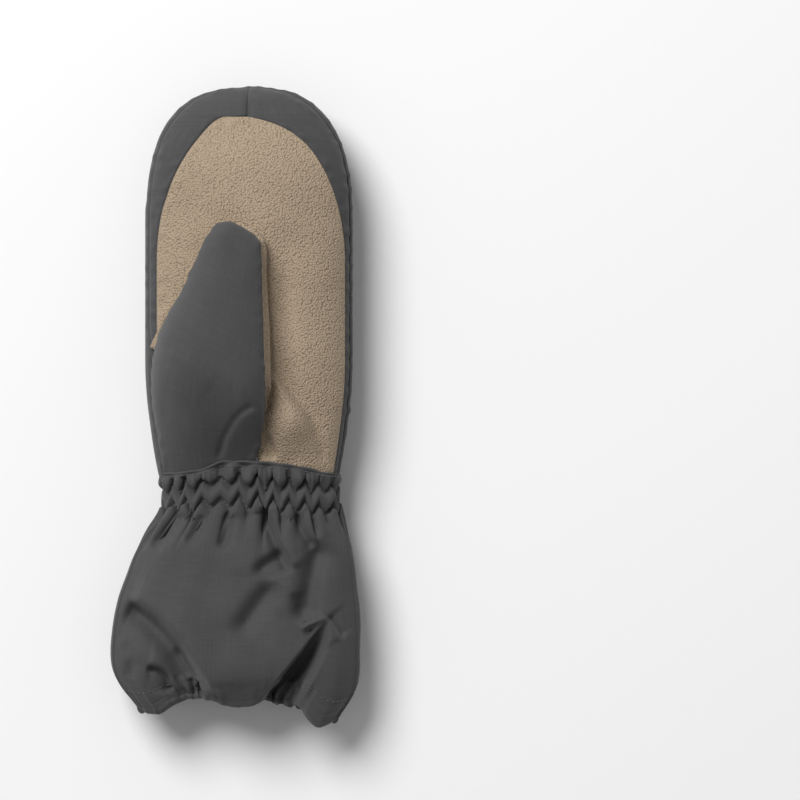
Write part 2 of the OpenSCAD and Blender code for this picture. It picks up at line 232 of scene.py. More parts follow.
def lengths_along(grid, axis):
    """Distance of every point from the grid's first edge, measured along one direction."""
    steps = np.linalg.norm(np.diff(grid, axis=axis), axis=2)
    start = np.zeros_like(steps[:1] if axis == 0 else steps[:, :1])
    return np.cumsum(np.concatenate([start, steps], axis=axis), axis=axis)


def tuck_edges(grid, width, **depths):
    """Dips the named edges: L and R are the first and last column, B and T the first and last row."""
    round_it, up_it = lengths_along(grid, 1), lengths_along(grid, 0)
    dips = {"L": round_it, "R": round_it[:, -1:] - round_it, "B": up_it, "T": up_it[-1:] - up_it}
    dip = np.max([depth * bell(dips[edge], width) for edge, depth in depths.items()], axis=0)
    beside = sum(bell(dips[edge] - 3.0, 2.2) for edge in depths)
    pucker = 0.22 * beside * unevenness(grid[..., 0], grid[..., 1], 6.0, 5)
    wide_enough = rise(round_it[:, -1:], 1.0, 9.0)
    return grid + grid_normals(grid) * ((pucker - dip) * wide_enough)[..., None]


def cloth_mesh(name, points, faces, material):
    """A smooth-shaded mesh from points in millimetres, with an empty UV map for its flat pattern."""
    mesh = bpy.data.meshes.new(name)
    mesh.from_pydata((points * MM).tolist(), [], faces)
    mesh.uv_layers.new(name="pattern")
    mesh.polygons.foreach_set("use_smooth", [True] * len(faces))
    mesh.materials.append(material)
    return mesh


def panel(name, grid, material, thickness=0.8, closed=False, flip=False):
    """A piece of cloth from a grid of points, with its flat pattern as UV map and its thickness inside."""
    rows, columns = grid.shape[:2]
    ring = columns if closed else columns - 1
    i, j = np.meshgrid(np.arange(rows - 1), np.arange(ring), indexing="ij")
    a, b = i * columns + j, i * columns + (j + 1) % columns
    faces = np.stack([a, a + columns, b + columns, b], axis=-1).reshape(-1, 4)
    if flip:
        faces = faces[:, ::-1]
    mesh = cloth_mesh(name, grid.reshape(-1, 3), faces.tolist(), material)
    across_it, up_it = lengths_along(grid, 1).mean(axis=0), lengths_along(grid, 0).mean(axis=1)
    pattern = np.stack(np.meshgrid(across_it, up_it), axis=-1).reshape(-1, 2)
    corner_vertex = np.zeros(len(mesh.loops), int)
    mesh.loops.foreach_get("vertex_index", corner_vertex)
    mesh.uv_layers["pattern"].data.foreach_set("uv", pattern[corner_vertex].ravel())
    piece = add_object(name, mesh)
    solidify = piece.modifiers.new("thickness", "SOLIDIFY")
    solidify.thickness = thickness * MM
    solidify.offset = -1
    bpy.ops.object.select_all(action="DESELECT")
    piece.select_set(True)
    bpy.context.view_layer.objects.active = piece
    bpy.ops.object.modifier_apply(modifier=solidify.name)
    print(name, "has", len(faces), "faces, cut", round(across_it[-1]), "by", round(up_it[-1]), "mm")
    return piece


# %% [markdown]
# ## Shared shader groups
# Three effects serve several finishes, so each is a node group made once. `pebble_grain` is embossed
# leather: rounded pebbles with creases between. `plain_weave` is cloth: threads that pass over and
# under, no two quite alike. `soft_variation` is the faint cloudiness that handling gives any surface.


# %% Node helpers
def add(tree, kind, inputs=None, **settings):
    """Adds a shader node, sets it up, and links or fills its inputs."""
    made = tree.nodes.new("ShaderNode" + kind)
    for key, value in settings.items():
        setattr(made, key, value)
    for key, value in (inputs or {}).items():
        if isinstance(value, bpy.types.NodeSocket):
            tree.links.new(value, made.inputs[key])
        else:
            made.inputs[key].default_value = value
    return made


def calculate(tree, operation, *values):
    return add(tree, "Math", dict(enumerate(values)), operation=operation).outputs[0]


def scaled(tree, value, factor, offset):
    """value times factor plus offset."""
    return calculate(tree, "MULTIPLY_ADD", value, factor, offset)


def new_group(name, inputs, outputs):
    """A shader group with named sockets. Returns the tree, its input sockets and its output node."""
    tree = bpy.data.node_groups.new(name, "ShaderNodeTree")
    for socket, kind, value in inputs:
        made = tree.interface.new_socket(socket, in_out="INPUT", socket_type=kind)
        if value is not None:
            made.default_value = value
    for socket, kind in outputs:
        tree.interface.new_socket(socket, in_out="OUTPUT", socket_type=kind)
    entry = tree.nodes.new("NodeGroupInput")
    return tree, entry.outputs, tree.nodes.new("NodeGroupOutput")


def use_group(tree, group, **inputs):
    """Places a shared group. A socket called "Patch size" is given as Patch_size."""
    sockets = {key.replace("_", " "): value for key, value in inputs.items()}
    return add(tree, "Group", sockets, node_tree=group)


# %% Pebble grain
pebble_grain, given, result = new_group(
    "pebble_grain",
    [("Vector", "NodeSocketVector", None), ("Pebble size", "NodeSocketFloat", 0.8)],
    [("Height", "NodeSocketFloat"), ("Crease", "NodeSocketFloat")],
)
per_pebble = calculate(pebble_grain, "DIVIDE", 1 / MM, given["Pebble size"])
place = add(pebble_grain, "VectorMath", {0: given["Vector"], "Scale": per_pebble},
            operation="SCALE").outputs[0]
waver = add(pebble_grain, "TexNoise", {"Vector": place, "Scale": 0.6, "Detail": 1.0}).outputs["Color"]
shift = add(pebble_grain, "VectorMath", {0: waver, "Scale": 0.3}, operation="SCALE").outputs[0]
place = add(pebble_grain, "VectorMath", {0: place, 1: shift}, operation="ADD").outputs[0]
cell = add(pebble_grain, "TexVoronoi", {"Vector": place, "Scale": 1.0, "Randomness": 1.0}).outputs["Distance"]
reach = calculate(pebble_grain, "MINIMUM", calculate(pebble_grain, "MULTIPLY", cell, 1.05), 1.0)
dome = calculate(pebble_grain, "SUBTRACT", 1.0, calculate(pebble_grain, "POWER", reach, 2.0))
pore = add(pebble_grain, "TexNoise", {"Vector": place, "Scale": 3.5, "Detail": 2.0}).outputs[0]
height = scaled(pebble_grain, pore, 0.12, dome)
pebble_grain.links.new(height, result.inputs["Height"])
pebble_grain.links.new(calculate(pebble_grain, "SUBTRACT", 1.0, dome), result.inputs["Crease"])
print("group pebble_grain:", len(pebble_grain.nodes), "nodes")

# %% Plain weave
plain_weave, given, result = new_group(
    "plain_weave",
    [("Vector", "NodeSocketVector", None), ("Thread pitch", "NodeSocketFloat", 0.4)],
    [("Height", "NodeSocketFloat"), ("Streak", "NodeSocketFloat")],
)
split = add(plain_weave, "SeparateXYZ", {0: given["Vector"]}).outputs
threads = [calculate(plain_weave, "DIVIDE", split[k], given["Thread pitch"]) for k in (0, 1)]
waves = [calculate(plain_weave, "SINE", calculate(plain_weave, "MULTIPLY", t, math.pi)) for t in threads]
over = calculate(plain_weave, "GREATER_THAN", calculate(plain_weave, "MULTIPLY", *waves), 0.0)
bumps = [calculate(plain_weave, "ABSOLUTE", w) for w in waves]
weave_height = add(plain_weave, "Mix", {0: over, 2: bumps[0], 3: bumps[1]}, data_type="FLOAT").outputs[0]
plain_weave.links.new(weave_height, result.inputs["Height"])
streaks = []
for stretch in ((1.3, 0.045, 1.0), (0.045, 1.3, 1.0)):
    long_place = add(plain_weave, "VectorMath", {0: given["Vector"], 1: stretch}, operation="MULTIPLY")
    streaks.append(add(plain_weave, "TexNoise", {"Vector": long_place.outputs[0], "Scale": 1.6,
                                                 "Detail": 3.0}).outputs[0])
plain_weave.links.new(
    calculate(plain_weave, "MULTIPLY", calculate(plain_weave, "ADD", *streaks), 0.5), result.inputs["Streak"])
print("group plain_weave:", len(plain_weave.nodes), "nodes")

# %% Soft variation
soft_variation, given, result = new_group(
    "soft_variation",
    [("Vector", "NodeSocketVector", None), ("Patch size", "NodeSocketFloat", 20.0)],
    [("Shade", "NodeSocketFloat")],
)
per_patch = calculate(soft_variation, "DIVIDE", 1 / MM, given["Patch size"])
cloud = add(soft_variation, "TexNoise", {"Vector": given["Vector"], "Scale": per_patch, "Detail": 4.0})
contrast = add(soft_variation, "MapRange", {0: cloud.outputs[0], 1: 0.3, 2: 0.7, 3: 0.0, 4: 1.0})
soft_variation.links.new(contrast.outputs[0], result.inputs["Shade"])
print("group soft_variation:", len(soft_variation.nodes), "nodes")

# %% [markdown]
# ## Finishes
# The palm is coated leather: tan, pebbled, with a low broad gloss. The shell is a matte woven cloth
# with a little sheen on its fibres. Linings, padding, tape and thread are quieter, but each has its own
# structure. What is the same all over a surface is set on the shader itself.


# %% Start a material
def start_material(name, sheen, specular):
    """A material with its Principled shader. Returns the tree, the shader and the place to read from."""
    material = bpy.data.materials.new(name)
    material.use_nodes = True
    tree = material.node_tree
    shader = tree.nodes["Principled BSDF"]
    shader.inputs["Sheen Weight"].default_value = sheen
    shader.inputs["Sheen Roughness"].default_value = 0.5
    shader.inputs["Specular IOR Level"].default_value = specular
    return material, tree, shader, add(tree, "TexCoord").outputs


def shade_between(tree, shader, factor, dark, light):
    """Colours the surface between a dark and a light shade of one colour, by a factor from 0 to 1."""
    tint = add(tree, "Mix", {0: factor, 6: (*dark, 1), 7: (*light, 1)}, data_type="RGBA").outputs[2]
    tree.links.new(tint, shader.inputs["Base Color"])


def bump(tree, shader, height, depth):
    """Raises the surface's normals by a height pattern. depth is in millimetres."""
    made = add(tree, "Bump", {"Height": height, "Distance": depth * MM, "Strength": 1.0})
    tree.links.new(made.outputs[0], shader.inputs["Normal"])


# %% Leather
def pebbled_leather(name, dark, light, pebble):
    material, tree, shader, place = start_material(name, sheen=0.05, specular=0.36)
    grain = use_group(tree, pebble_grain, Vector=place["Object"], Pebble_size=pebble).outputs
    cloud = use_group(tree, soft_variation, Vector=place["Object"], Patch_size=28.0).outputs[0]
    # The creases between the pebbles are painted darker: painted shade. The cloud is the leather's own uneven
    # tone.
    shade = scaled(tree, grain["Crease"], -0.34, scaled(tree, cloud, 0.25, 0.75))
    shade_between(tree, shader, shade, dark, light)
    tree.links.new(scaled(tree, grain["Crease"], 0.2, 0.56), shader.inputs["Roughness"])
    bump(tree, shader, grain["Height"], 0.5)
    return material


leather = pebbled_leather("tan_pebbled_leather", (0.20, 0.150, 0.098), (0.435, 0.335, 0.235), 0.8)


# %% Woven cloths
def woven_cloth(name, dark, light, pitch, depth, roughness, sheen=0.12):
    material, tree, shader, place = start_material(name, sheen=sheen, specular=0.25)
    weave = use_group(tree, plain_weave, Vector=place["UV"], Thread_pitch=pitch).outputs
    cloud = use_group(tree, soft_variation, Vector=place["Object"], Patch_size=35.0).outputs[0]
    fibre = add(tree, "MapRange", {0: weave["Streak"], 1: 0.3, 2: 0.7, 3: 0.1, 4: 0.6}).outputs[0]
    # The raised threads are painted a little lighter and the hollows between them darker: painted light. The
    # streaks and the cloud are the cloth's own uneven tone.
    shade = scaled(tree, cloud, 0.18, scaled(tree, weave["Height"], 0.1, fibre))
    shade_between(tree, shader, shade, dark, light)
    tree.links.new(scaled(tree, weave["Streak"], 0.12, roughness), shader.inputs["Roughness"])
    bump(tree, shader, weave["Height"], depth)
    return material


shell_cloth = woven_cloth("dark_shell_cloth", (0.040, 0.040, 0.041), (0.084, 0.084, 0.086), 0.36, 0.035, 0.66)
lining_cloth = woven_cloth("cuff_lining_cloth", (0.03, 0.03, 0.032), (0.055, 0.055, 0.058), 0.3, 0.03, 0.5)
elastic_tape = woven_cloth("black_elastic_tape", (0.012, 0.012, 0.012), (0.03, 0.03, 0.03), 0.8, 0.2, 0.7)
thread_twist = woven_cloth("grey_thread", (0.06, 0.06, 0.062), (0.12, 0.12, 0.122), 0.25, 0.08, 0.6,
                           sheen=0.3)


# %% Fibres
def loose_fibre(name, dark, light, fibre, depth):
    material, tree, shader, place = start_material(name, sheen=0.4, specular=0.15)
    tangle = add(tree, "TexNoise", {"Vector": place["Object"], "Scale": 1 / (fibre * MM), "Detail": 5.0,
                                    "Distortion": 1.5}).outputs[0]
    cloud = use_group(tree, soft_variation, Vector=place["Object"], Patch_size=12.0).outputs[0]
    shade = scaled(tree, cloud, 0.3, calculate(tree, "MULTIPLY", tangle, 0.8))
    shade_between(tree, shader, shade, dark, light)
    tree.links.new(scaled(tree, tangle, 0.1, 0.85), shader.inputs["Roughness"])
    bump(tree, shader, tangle, depth)
    return material


padding_fibre = loose_fibre("white_padding", (0.6, 0.6, 0.58), (0.9, 0.9, 0.88), 0.7, 0.5)
fleece = loose_fibre("grey_fleece", (0.07, 0.07, 0.073), (0.17, 0.17, 0.175), 1.1, 0.6)
slot_finish = {
    "shell_fabric": shell_cloth, "palm_leather": leather, "padding": padding_fibre,
    "fleece_lining": fleece, "cuff_lining_fabric": lining_cloth, "elastic": elastic_tape,
    "thread": thread_twist,
}
for part in frame["record"]["subparts"]:
    materials = cad_nodes[part["node"]].data.materials
    materials.clear()
    materials.append(slot_finish[part["material_slot"]])
print("finishes:", len(slot_finish))

# %% [markdown]
# ## The hand's surface
# Seen from the end the hand is a squarish oval, flat where it lies. Seen from above it is a long
# rectangle with a blunt round tip that narrows to the wrist seam. One formula gives a point for any
# place along the hand and any angle round it, so all the panels lie on one body.

# %% Hand surface
square = 2.4  # 2 is an ellipse, and more is squarer
cap_y, wrist_taper_y = 75.0, 20.0
wrist_half_width, wrist_half_height = 36.3, 15.0
puff, palm_puff, back_puff = 0.6, 1.7, 1.5
palm_flatness = 3.1


def cap_shape(share, power, root_power):
    """1 before a cap begins and 0 at its end, along a rounded outline."""
    return np.maximum(0, 1 - np.clip(share, 0, 1) ** power) ** (1 / root_power)


def hand_size(y, size, wrist_size, power, root_power):
    """Half the hand's width or height: it narrows towards the wrist and closes at the fingertip."""
    taper = np.clip((wrist_taper_y - y) / (wrist_taper_y - seam_y), 0, 1.2) ** 2
    return mix(size, wrist_size, taper) * cap_shape((y - cap_y) / (tip_y - cap_y), power, root_power)


def hand_half(y):
    return hand_size(y, hand_half_width, wrist_half_width, 2.6, 2.6)


def hand_height(y):
    return hand_size(y, mid_z, wrist_half_height, 3, 2)


def shoulder(y):
    """How far the thumb side of the fingers is drawn in, above the place where the border puckers."""
    return 0.4 * rise(y, 81, 86) * (1 - rise(y, 100, 118))


def hand_point(y, angle):
    """Points on the hand. Angle 0 is the little finger's side, 90 the palm and 180 the thumb's side."""
    c, s = np.cos(np.radians(angle)), np.sin(np.radians(angle))
    x = hand_x + hand_half(y) * signed_power(c, 2 / square) + shoulder(y) * np.clip(-c, 0, 1)
    lower = np.maximum(0, mid_z + (hand_height(y) + back_puff) * signed_power(s, 2 / square))
    spread = np.abs(signed_power(c, 2 / square))
    flatness = mix(square, palm_flatness, rise(y, seam_y, 8))
    swell = mix(puff, palm_puff, rise(y, seam_y, 0) * (1 - rise(y, 95, 120)))
    upper = mid_z + (hand_height(y) + swell) * np.maximum(0, 1 - spread**flatness) ** (1 / flatness)
    return np.stack([x, y + 0 * x, np.where(s >= 0, upper, lower)], axis=-1)


def angle_over(x, y):
    """The angle at which the palm side stands over x."""
    c = np.clip((x - hand_x) / np.maximum(hand_half(y), 1e-6), -1, 1)
    return np.degrees(np.arccos(signed_power(c, square / 2)))


def palm_height(x, y):
    return hand_point(y, angle_over(x, y))[..., 2]


def wrist_line(x, z):
    """Where the casing's edge crosses the wrist: an easy curve over the palm, straight at the back."""
    over_palm = profile(x, [(-34, -27.4), (-29, -26.8), (-20, -26), (-13.5, -25), (-8.5, -23),
                            (-4, -21.6), (9, -21.9), (20, -22.8), (30, -24.6), (36, -26.2), (44, -27.2)])
    return mix(seam_y - 1.5, over_palm, rise(z, mid_z - 6, mid_z + 10))


def follow_wrist(grid, lap=1.8):
    """Bends a hand panel's lower edge to the casing's edge and runs it on underneath."""
    bent = grid.copy()
    near = 1 - rise(grid[..., 1], seam_y, seam_y + 22)
    bent[..., 1] += (wrist_line(grid[..., 0], grid[..., 2]) - lap - seam_y) * near
    return bent


print("palm surface over the middle:", round(float(palm_height(hand_x, 40.0)), 1), "mm up")

# %% [markdown]
# ## Folds on the palm
# Padded leather creases where the hand bends: an arc round the heel of the palm, a short crease at its
# foot, and a dip beside the thumb. The shell over the thumb's base has one clear crease from the
# crotch down to the wrist.

# %% Palm relief
crotch = np.array([11.3, -0.4])
palm_folds = [  # path, width, height, step, reach, fade
    ([(14.5, 21), (18.5, 13.5), (24.5, 5.5), (31, -3), (34.6, -12.5)], 2.6, -2.2, -1.3, 8),
    ([(13.2, -10), (14.2, -15), (16.4, -21.5)], 1.8, -2.0, 0.4),
    ([(11.5, -2), (14, 4), (16, 12)], 2.6, -2.2),
    ([(33, -6), (35.5, -13), (36, -20)], 2.5, -0.9),
]
base_folds = [
    ([(10.5, 0.6), (6, 0), (1.5, -3.4), (-2.6, -9.6), (-5, -15.5), (-6.6, -22)], 1.5, -1.6, 0.5, 7, 0.16),
    ([(-12, 10), (-4, 5.5), (3.5, 6)], 5.0, -0.7),
    ([(-29.5, 10), (-28, 3), (-27.5, -6)], 2.4, -0.8),
    ([(-33.5, 27), (-28, 25), (-24, 22)], 1.6, -0.7),
    ([(-33, 18), (-29, 18.5), (-26, 17)], 1.4, -0.6),
]
deepest = 1.9


def palm_relief(x, y):
    """Folds of the leather. No dip goes deeper than `deepest`, which keeps it above the padding."""
    height = relief(x, y, palm_folds, [(2.9, 22, -7, 8, 9)])
    height -= 1.5 * bell((x - 17.5) / 6.5, 1) * rise(y, 9, 24) * (1 - rise(y, 40, 74))
    height = 1.4 * height + 0.3 * unevenness(x, y, 22, 3)
    return np.where(height < 0, -deepest * np.tanh(-height / deepest), height)


def base_relief(x, y):
    return relief(x, y, base_folds, [(0.5, -18, -6, 9, 9)]) + 0.2 * unevenness(x, y, 20, 8)


def with_relief(grid, height_at):
    """Lifts the parts of a grid that face up by a height read in plan."""
    lifted = grid.copy()
    facing = np.clip(grid_normals(grid)[..., 2], 0, 1)
    lifted[..., 2] += height_at(grid[..., 0], grid[..., 1]) * facing
    return lifted


# %% [markdown]
# ## Panels of the hand
# The leather patch is an arch with a slightly flat, leaning top. Two dark borders run round it and
# meet in a short seam at the fingertip. The back panel wraps a little way up the sides, so that a thin
# line of it shows outside the borders.

# %% The patch's outline
patch_half, patch_x, patch_cap_y, patch_top_y = 38.6, 6.4, 60.0, 119.6
tip_seam_x = 5.1


def patch_edges(y):
    share = np.clip((y - patch_cap_y) / (patch_top_y - patch_cap_y), 0, 1)
    middle = patch_x - 7.4 * share**14
    half = patch_half * np.sqrt(1 - share**2)
    heel = hand_x + 0.94 * hand_half(y)
    return middle - half, np.minimum(middle + half, heel)


def base_seam_x(y):
    """The dark thumb base's seam on the palm, from the crotch down to the wrist."""
    return crotch[0] - 2.2 * np.clip((crotch[1] - y) / (crotch[1] - seam_y), 0, 1.1)


def root_line_x(y):
    return root[0] + (y - root[1]) * across[0] / across[1]


def patch_left(y):
    under_hood = np.where(y < crotch[1], base_seam_x(y) - 4.0, root_line_x(y) - 4.0)
    return np.maximum(patch_edges(y)[0], under_hood)


# %% Patch
cap_rows = patch_cap_y + (patch_top_y - patch_cap_y) * np.sin(np.radians(np.linspace(0, 84, 90)))
y = np.concatenate([np.arange(seam_y - 0.4, patch_cap_y, 0.9), cap_rows])[:, None]
share = np.linspace(0, 1, 120)[None, :]
right, left = angle_over(patch_edges(y)[1], y), angle_over(patch_left(y), y)
patch_grid = with_relief(hand_point(y, mix(right, left, share)), palm_relief)
patch_grid = follow_wrist(tuck_edges(patch_grid, 0.7, R=0.45, T=0.45, B=0.5), lap=1.2)
patch = panel("palm_patch_leather", patch_grid, leather)

# %% Borders and back
thumb_edge, finger_edge = 26.0, 9.0


def side_angles(y):
    """Where the back panel's seams run: its angle above the hand's edge on each side."""
    tip = rise(y, 104, 122)
    on_thumb_side = mix(mix(thumb_edge, 15.0, rise(y, 18, 36)), 20.0, tip)
    return mix(finger_edge, 19.0, tip), 180 - on_thumb_side


def border_rows(first):
    near = np.arange(first, 112, 0.9)
    far = 112 + (tip_y - 112) * np.sin(np.radians(np.linspace(0, 90, 60)))
    return np.concatenate([near, far])[:, None]


def border(name, first, side, columns=44):
    y = border_rows(first)
    left, right = patch_edges(y)
    lap = 0.7
    if side > 0:
        inner = angle_over(np.where(y < patch_top_y - 0.3, right - lap, tip_seam_x), y)
        ends = side_angles(y)[0], inner
    else:
        inner = angle_over(np.where(y < patch_top_y - 0.3, left + lap, tip_seam_x), y)
        ends = inner, side_angles(y)[1]
    grid = hand_point(y, mix(ends[0], ends[1], np.linspace(0, 1, columns)[None, :]))
    under_patch, at_side = mix(1.35, 0.5, rise(y, patch_top_y - 3, patch_top_y)), 0.6
    depths = {"L": at_side, "R": under_patch} if side > 0 else {"L": under_patch, "R": at_side}
    return panel(name, follow_wrist(tuck_edges(grid, 1.1, **depths)), shell_cloth)


finger_border = border("finger_side_border_cloth", seam_y - 0.4, 1)
thumb_border = border("thumb_side_border_cloth", 24.0, -1)
y = border_rows(seam_y - 0.4)
start, end = side_angles(y)
back_angles = mix(end - 360, start, np.linspace(0, 1, 190)[None, :])
back_grid = hand_point(y, back_angles)
back_grid += grid_normals(back_grid) * 0.5 * (1 - bell(lengths_along(back_grid, 1), 3))[..., None] * (
    back_grid[..., 2:] > 6)
back = panel("back_of_hand_cloth", follow_wrist(tuck_edges(back_grid, 1.0, L=0.7, R=0.7)), shell_cloth)

# %% [markdown]
# ## The thumb
# One dark panel runs from the wrist seam over the heel of the thumb to the thumb's tip. Tan leather
# closes the thumb on the side that faces the palm and shows as a narrow strip beside the dark edge.
# Rows of the dark panel lie across the thumb. Below the root line they melt into the hand. The same
# functions with an `inset` give the padding and the fleece inside, so every layer nests in the next.

# %% Thumb sections
thumb_length, thumb_cap = 59.3, 49.0
rest_z = 2 * mid_z + 0.6
root_depth, tip_depth = 22.0, 14.0


def thumb_edges(n):
    """Across the thumb: its outer edge and its crotch edge, n millimetres out from the root line."""
    outer = profile(n, [(-3, -24.6), (1.5, -25), (10.4, -25.9), (17, -25.6), (23.5, -25.1), (34, -26),
                        (46, -27), (62, -27.6)])
    return outer, 28.2 - 0.6 * n


def thumb_tip(n, c=0.0):
    """The tip is well rounded on the outer side and almost square on the crotch side."""
    soft = cap_shape((n - thumb_cap) / (thumb_length - thumb_cap), 2.6, 2.6)
    square_corner = cap_shape((n - thumb_cap - 5) / (thumb_length - thumb_cap - 5), 4, 4)
    return mix(soft, square_corner, rise(c, -0.2, 0.5))


def plan_point(s, n):
    return root[:2] + np.stack([s * across[0] + n * out[0], s * across[1] + n * out[1]], axis=-1)


def thumb_levels(n, inset=0.0):
    """Heights of the crotch-side seam, the outer seam, the top and the underside."""
    depth = mix(root_depth, tip_depth, n / thumb_length)
    near = 1 - np.clip(n / thumb_length, 0, 1)
    seam = rest_z + depth * mix(0.02, 0.66, rise(n, -1, 15))
    outer = rest_z + mix(depth * 0.35, -9.3, near**2.2)
    middle = rest_z + depth * 0.5
    tip = thumb_tip(n)
    levels = [mix(middle, level, tip) for level in (seam, outer, rest_z + depth, rest_z)]
    return [levels[0] - 0.3 * inset, levels[1] + 0.1 * inset, levels[2] - inset, levels[3] + inset]


def thumb_plan(c, n, inset=0.0):
    """c is 1 at the crotch side and -1 at the outer side."""
    low, high = thumb_edges(n)
    half = np.maximum((high - low) / 2 - 1.8 * inset, 0.5)
    return plan_point((low + high) / 2 + half * c * thumb_tip(n, c), n - inset * (n / thumb_length) ** 4)


def thumb_top(c, n, inset=0.0):
    seam, outer, top, _ = thumb_levels(n, inset)
    side = mix(outer, seam, (1 + c) / 2)
    power = mix(square, mix(4.0, 3.0, rise(n, 0, 15)), rise(c, -0.2, 0.3))
    return side + (top - side) * np.maximum(0, 1 - np.abs(c) ** power) ** (1 / power)


tip_rows = thumb_cap + (thumb_length - thumb_cap) * np.sin(np.radians(np.linspace(0, 90, 28)))


def eased(grid, row, reach, passes):
    """Rounds off the bend at one row by letting each row near it drift to the mean of its neighbours."""
    smooth = grid.copy()
    weight = 0.5 * bell((np.arange(len(grid)) - row) / reach, 1)[1:-1, None, None]
    for _ in range(passes):
        smooth[1:-1] += weight * ((smooth[:-2] + smooth[2:]) / 2 - smooth[1:-1])
    return smooth


# %% The dark top of the thumb
heel_rows = 61
heel_left_x, heel_bulge = -29.4, 2.6
root_reach, root_passes = 26, 150


def dark_side(inset=0.0):
    """Rows from the wrist seam up the heel of the thumb and out to its tip."""
    n = np.concatenate([np.arange(0, thumb_cap, 0.8), tip_rows[:len(tip_rows) - (inset > 0)]])[:, None]
    c = signed_power(np.cos(np.radians(np.linspace(0, 180, 130)))[None, :], 0.9)
    pouch = np.concatenate([thumb_plan(c, n, inset), thumb_top(c, n, inset)[..., None]], axis=-1)
    t = np.linspace(0, 1, heel_rows, endpoint=False)[:, None, None]
    heel_right = mix(np.array([base_seam_x(seam_y) - inset, seam_y - 0.4]), pouch[0, 0, :2], t)
    heel_left = mix(np.array([heel_left_x + inset, seam_y - 0.4]), pouch[0, -1, :2], t)
    heel_left[..., 0] -= heel_bulge * np.sin(np.pi * t[..., 0] ** 1.3)
    plan = mix(heel_right, heel_left, (1 - c[..., None]) / 2)
    x, y = plan[..., 0], plan[..., 1]
    lifted = np.broadcast_to(pouch[0, :, 2], x.shape) + 0.4
    z = mix(palm_height(x, y) - 0.6 * inset + 0.25, lifted, t[..., 0] ** 1.4)
    grid = np.concatenate([np.concatenate([plan, z[..., None]], axis=-1), pouch])
    return with_relief(eased(grid, len(plan), root_reach, root_passes), base_relief)


def tan_side(inset=0.0, swell_by=4.2):
    """Rows round the thumb's underside, from the crotch seam to the outer seam."""
    start = -1.5 if inset == 0 else 3.0
    n = np.concatenate([np.arange(start, thumb_cap, 0.9), tip_rows[:len(tip_rows) - (inset > 0)]])[:, None]
    turn = np.radians(np.linspace(0, 180, 90))[None, :]
    c = signed_power(np.cos(turn), 0.8)
    seam, outer, _, under = thumb_levels(n, inset)
    side = mix(outer, seam, (1 + c) / 2)
    belly = side - (side - np.minimum(under, side)) * np.abs(np.sin(turn)) ** 0.6
    swell = swell_by * bell((turn - 0.5) / 0.42, 1) * rise(n, -2, 9) * (1 - 0.45 * rise(n, 22, thumb_length))
    beyond = 1.3 * rise(n, 44, 57) * rise(c, -0.9, -0.3) if inset == 0 else 0.0
    from_seam = rise(turn, 0, 0.24)
    swell, beyond = swell * from_seam, beyond * from_seam
    swell = swell * thumb_tip(n) ** 0.5
    plan = thumb_plan(c, n, inset) + swell[..., None] * across + beyond[..., None] * out
    grid = np.concatenate([plan, belly[..., None]], axis=-1)
    grid[..., 2] = np.maximum(grid[..., 2], palm_height(grid[..., 0], grid[..., 1]) + 0.15 + inset)
    return grid


padding_inset, thumb_fleece_inset, padding_thickness = 1.2, 3.8, 2.2
thumb_pieces = [
    panel("thumb_and_heel_cloth", follow_wrist(tuck_edges(dark_side(), 0.8, L=0.55, R=0.55)), shell_cloth),
    panel("thumb_palm_side_leather", tuck_edges(tan_side()[:, ::-1], 0.8, L=0.5, R=0.3), leather),
    panel("thumb_top_padding", dark_side(padding_inset), padding_fibre, padding_thickness),
    panel("thumb_under_padding", tan_side(padding_inset, 2.6), padding_fibre, padding_thickness, flip=True),
    panel("thumb_top_fleece", dark_side(thumb_fleece_inset), fleece),
    panel("thumb_under_fleece", tan_side(thumb_fleece_inset, 0.0), fleece, flip=True),
]

# %% [markdown]
# ## The wrist and the cuff
# The cuff is one tube of shell cloth, cut wider than its two elastics. It is gathered where two zigzag
# rows sew it to the wrist elastic, balloons out below, and is gathered again at the hem. The whole
# tube is one grid, so folds run on from piece to piece. Its rows go down the cuff and round the hem.

# %% The tube's outline
cuff_left = [(-20, -31.5), (-26, -30.4), (-31, -29.2), (-35.5, -29), (-41, -30.4), (-49, -36.4),
             (-58.8, -41.3), (-68.7, -44.7), (-78.5, -48.3), (-88.4, -50.6), (-99, -51.4), (-109, -50.4),
             (-118, -47), (-130, -39)]
cuff_right = [(-20, 42.4), (-26, 41.6), (-35.5, 41.2), (-41, 42), (-49, 44.9), (-58.8, 47.4), (-68.7, 49.4),
              (-78.5, 50.7), (-88.4, 51.3), (-99, 51.5), (-109, 51.2), (-118, 49), (-130, 41)]
cuff_depth = [(-20, 17.2), (-26, 16.9), (-31, 14.9), (-38, 14.4), (-42, 14.8), (-52, 16.6), (-65, 17.9),
              (-90, 18.9), (-110, 18.4), (-120, 16.5), (-130, 12)]
palm_hem = [(-42, -123.4), (-38, -124.8), (-32, -125.3), (-27, -122.2), (-19.5, -119.2), (-10.5, -119.6),
            (-4, -121.8), (2, -122.4), (8, -121.6), (13, -119.4), (17, -121.6), (24, -121.6), (27.5, -122.6),
            (31.5, -128.2), (35.5, -131), (41, -128.8)]
nominal_hem, stretch_from = -128.0, -92.0
roll, inside = 2.6, 7.0
around = 560

rows_down = np.concatenate([np.arange(seam_y, -46, -0.36), np.arange(-46, -108, -0.7),
                            np.arange(-108, nominal_hem, -0.5)])
curl = np.linspace(0, math.pi, 12)
theta = np.arange(around) * 2 * math.pi / around
c, s = signed_power(np.cos(theta), 2 / square), signed_power(np.sin(theta), 2 / square)


def cuff_section(y):
    """Points round the tube at one height, before any fold."""
    left, right, depth = profile(y, cuff_left), profile(y, cuff_right), profile(y, cuff_depth)
    x = (left + right) / 2 + (right - left) / 2 * c
    z = mid_z + (depth + np.where(s < 0, 1.5 * (1 - rise(-y, 98, 125)), 0.5)) * s
    return np.stack([x, y + 0 * x, np.maximum(z, 0)], axis=-1)


